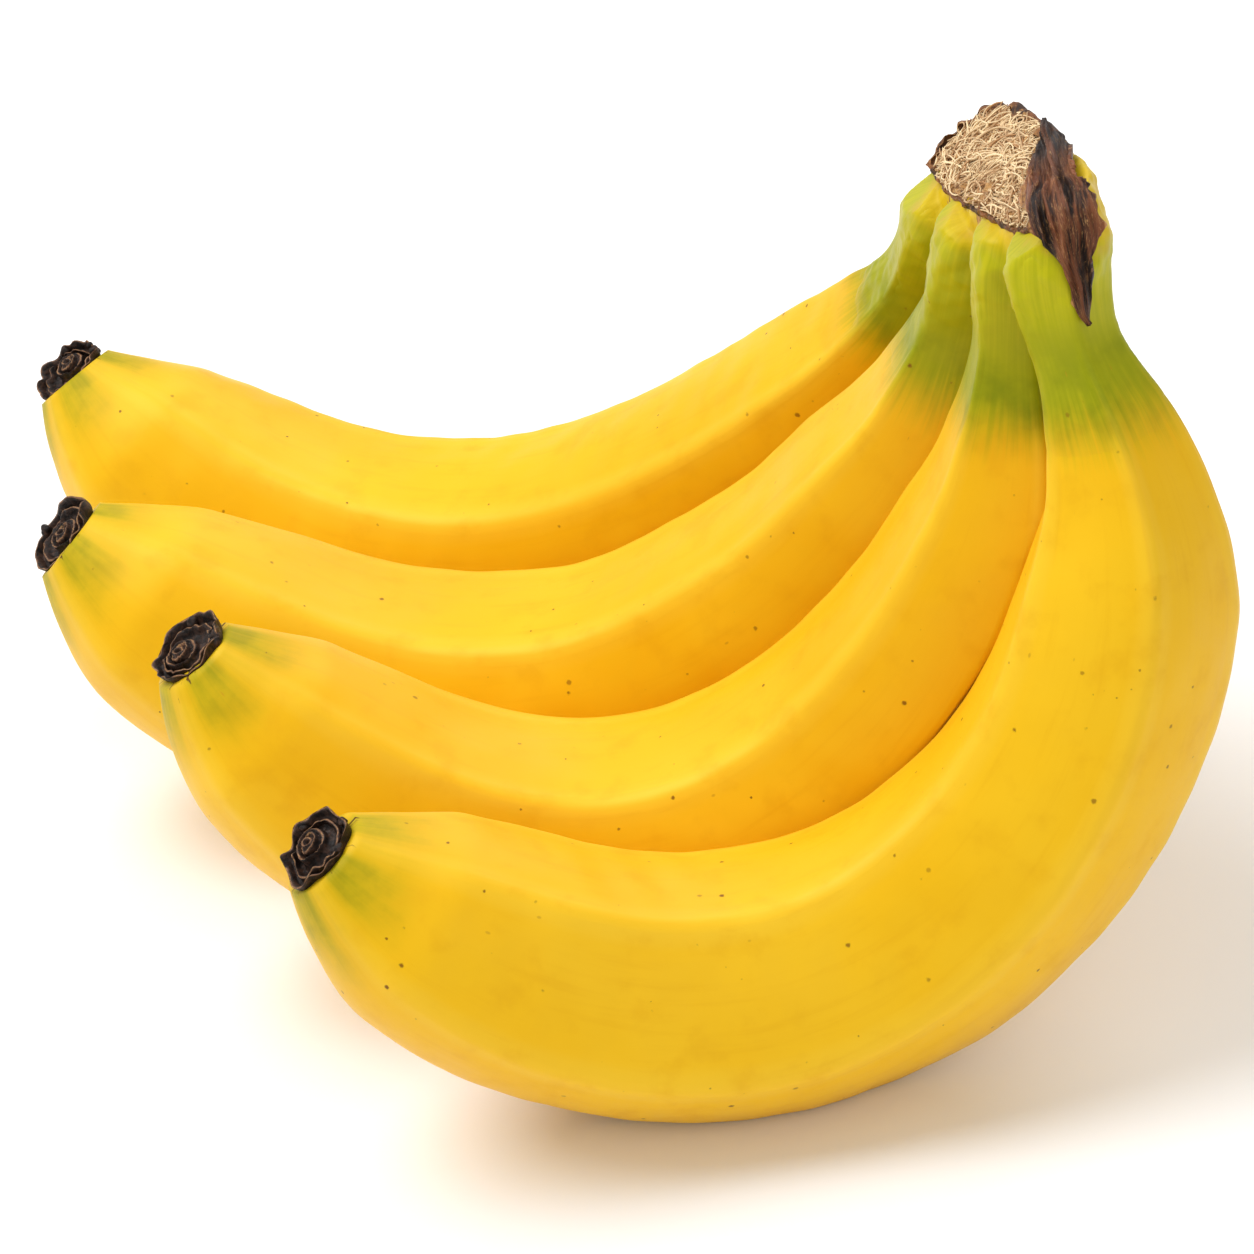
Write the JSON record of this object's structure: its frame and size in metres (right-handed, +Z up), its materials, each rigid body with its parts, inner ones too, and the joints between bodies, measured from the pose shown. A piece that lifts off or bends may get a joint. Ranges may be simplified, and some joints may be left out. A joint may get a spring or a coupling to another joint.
{
  "type": "bunch of bananas",
  "caption": "Ripe bananas on one crown, lying on their curved backs, with short green stalks, a dried flap on the crown and dark blossom ends.",
  "frame": {"origin": "on the resting surface, under the middle of the bunch's bounding box", "axes": "+Z up; +X from the blossom ends towards the crown; +Y from the front fruit to the rear one"},
  "size_m": [0.177, 0.1722, 0.1223],
  "materials": {
    "peel": "satin ripe banana peel, green at the stalk",
    "crown_fibre": "dry matted fibres of the cut crown",
    "dried_skin": "dried wrinkled dark brown skin",
    "blossom_end": "dry black-brown blossom scar"
  },
  "bodies": {
    "root": {"banana_1": "peel", "banana_2": "peel", "banana_3": "peel", "banana_4": "peel", "crown": "crown_fibre", "dried_flap": "dried_skin", "blossom_end_1": "blossom_end", "blossom_end_2": "blossom_end", "blossom_end_3": "blossom_end", "blossom_end_4": "blossom_end"}
  },
  "joints": []
}
